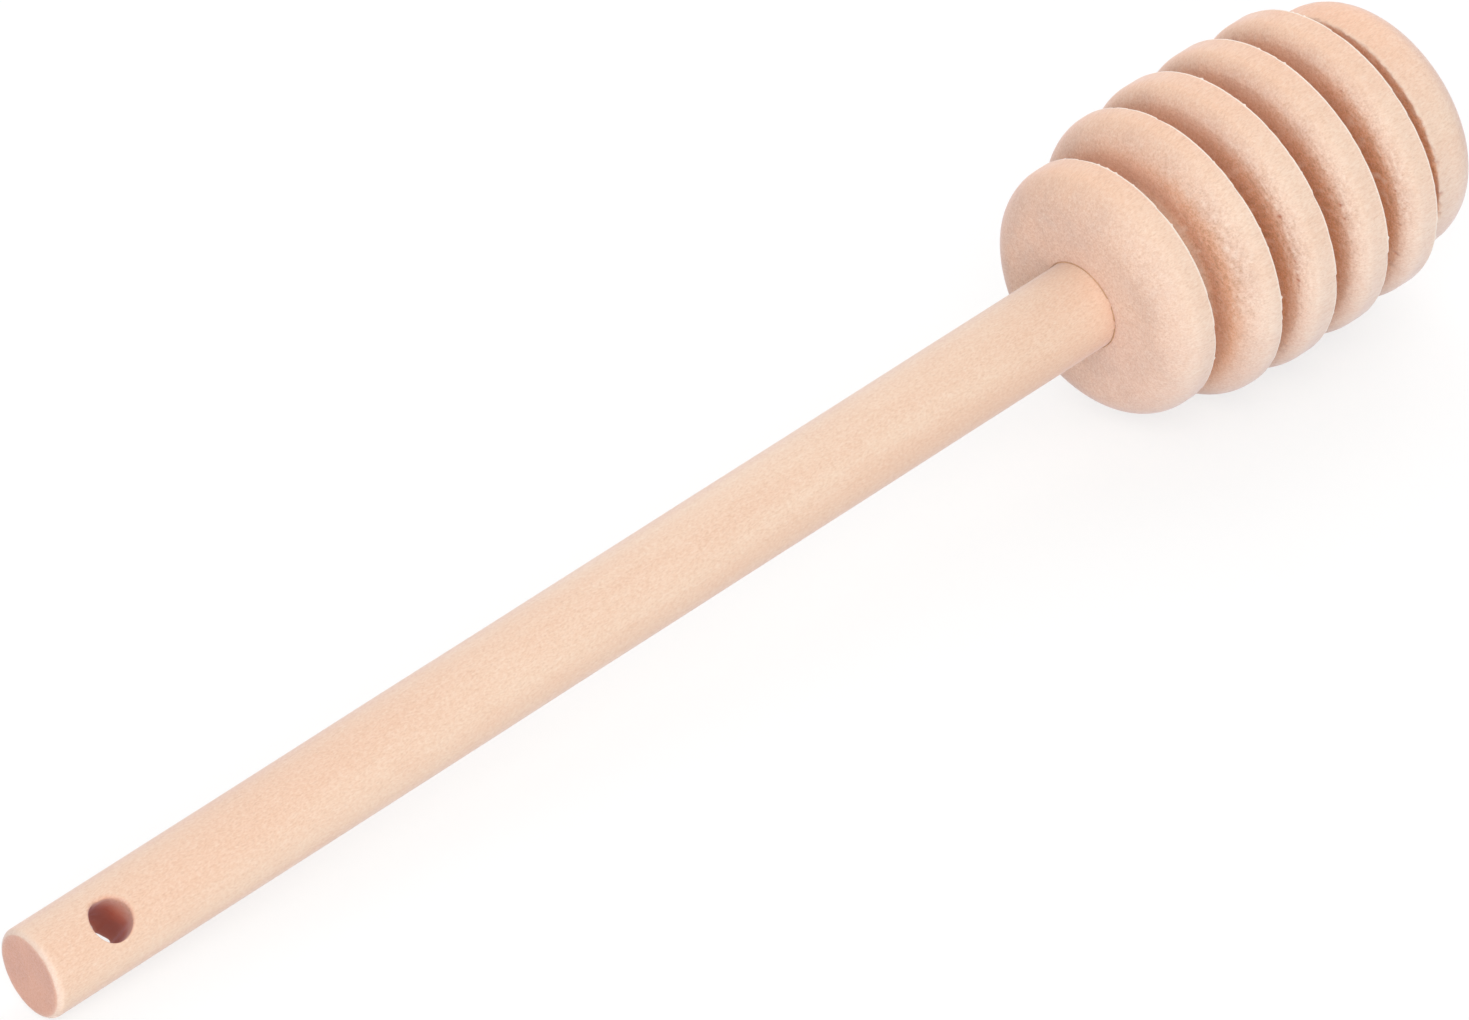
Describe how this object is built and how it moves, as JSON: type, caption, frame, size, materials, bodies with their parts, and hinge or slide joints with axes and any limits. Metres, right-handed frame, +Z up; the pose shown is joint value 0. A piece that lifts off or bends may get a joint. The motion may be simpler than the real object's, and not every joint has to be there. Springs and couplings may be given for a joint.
{
  "type": "honey dipper",
  "caption": "Wooden honey dipper lying at rest: a slim dowel handle with a hanging hole, glued into a turned, barrel-shaped head cut by deep honey slots.",
  "frame": {"origin": "centre of the bottom of the bounding box, on the surface that the dipper lies on", "axes": "+X level along the dipper from the butt of the handle to the head, +Y across it to the left, +Z up"},
  "size_m": [0.157, 0.0272, 0.0279],
  "materials": {
    "handle_wood": "sanded, unfinished",
    "head_wood": "turned and sanded, unfinished",
    "wood_glue": "cured white wood glue, soaked by the wood"
  },
  "bodies": {
    "root": {"handle": "handle_wood", "dipper_head": "head_wood", "glue_film": "wood_glue"}
  },
  "joints": []
}
